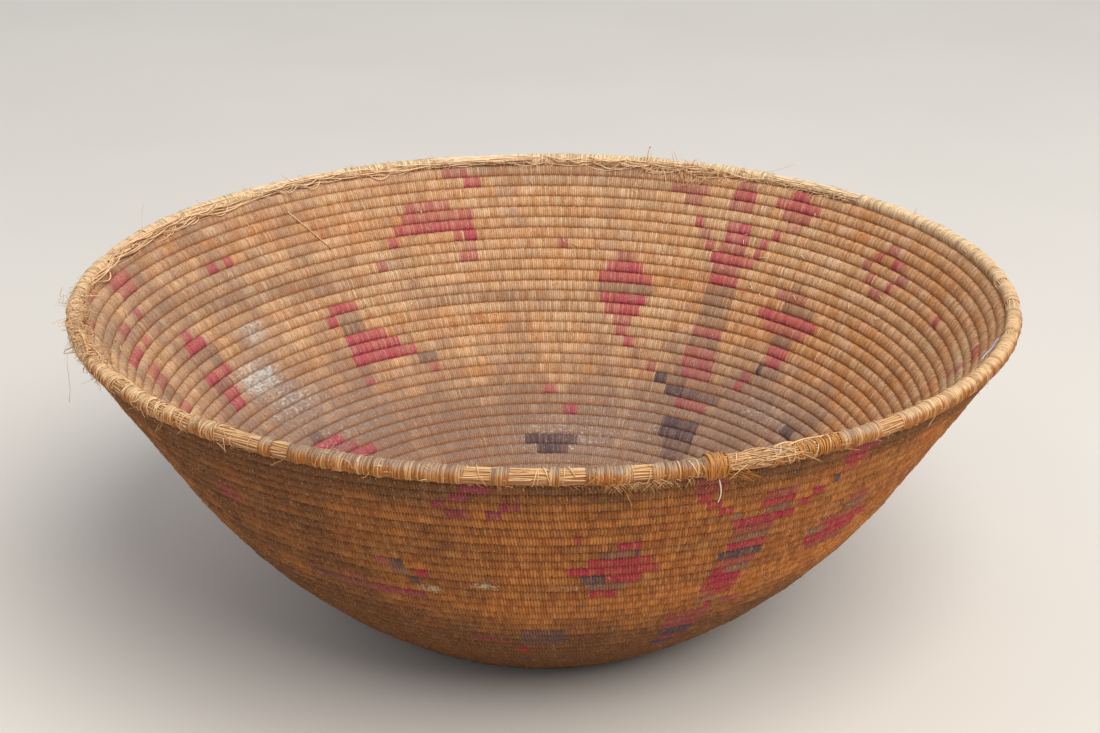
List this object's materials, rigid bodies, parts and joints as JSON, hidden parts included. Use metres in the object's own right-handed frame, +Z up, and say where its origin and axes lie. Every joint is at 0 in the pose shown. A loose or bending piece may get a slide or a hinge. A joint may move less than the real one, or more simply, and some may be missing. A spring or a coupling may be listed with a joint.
{
  "type": "gathering basket",
  "caption": "Wide bowl-shaped gathering basket of coiled, sewn grass with stepped red and dark motifs, a bound stalk rim and a flat base to stand on",
  "frame": {"origin": "Middle of the base's underside, on the surface the basket stands on", "axes": "+Z up out of the bowl, -Y towards the pictured front with the knotted rim tie, +X to the right as seen from the front"},
  "size_m": [0.6506, 0.6506, 0.2507],
  "materials": {
    "coil_grass": "dry wrapped grass coil, matt, golden brown with red and dark dyed stitches",
    "rim_stalks": "bare split stalks, pale straw, slight sheen",
    "rim_strand": "flat strand wound tight, grey brown to gold, matt"
  },
  "bodies": {
    "root": {"centre_knot": "coil_grass", "base_coil": "coil_grass", "lower_wall_coil": "coil_grass", "middle_wall_coil": "coil_grass", "upper_wall_coil": "coil_grass", "rim_bundle": "rim_stalks", "rim_tie": "rim_strand", "rim_wrap_01": "rim_strand", "rim_wrap_02": "rim_strand", "rim_wrap_03": "rim_strand", "rim_wrap_04": "rim_strand", "rim_wrap_05": "rim_strand", "rim_wrap_06": "rim_strand", "rim_wrap_07": "rim_strand", "rim_wrap_08": "rim_strand", "rim_wrap_09": "rim_strand", "rim_wrap_10": "rim_strand", "rim_wrap_11": "rim_strand", "rim_wrap_12": "rim_strand", "rim_wrap_13": "rim_strand", "rim_wrap_14": "rim_strand", "rim_wrap_15": "rim_strand", "rim_wrap_16": "rim_strand", "rim_wrap_17": "rim_strand", "rim_lashing_01": "rim_strand", "rim_lashing_02": "rim_strand", "rim_lashing_03": "rim_strand", "rim_lashing_04": "rim_strand"}
  },
  "joints": []
}
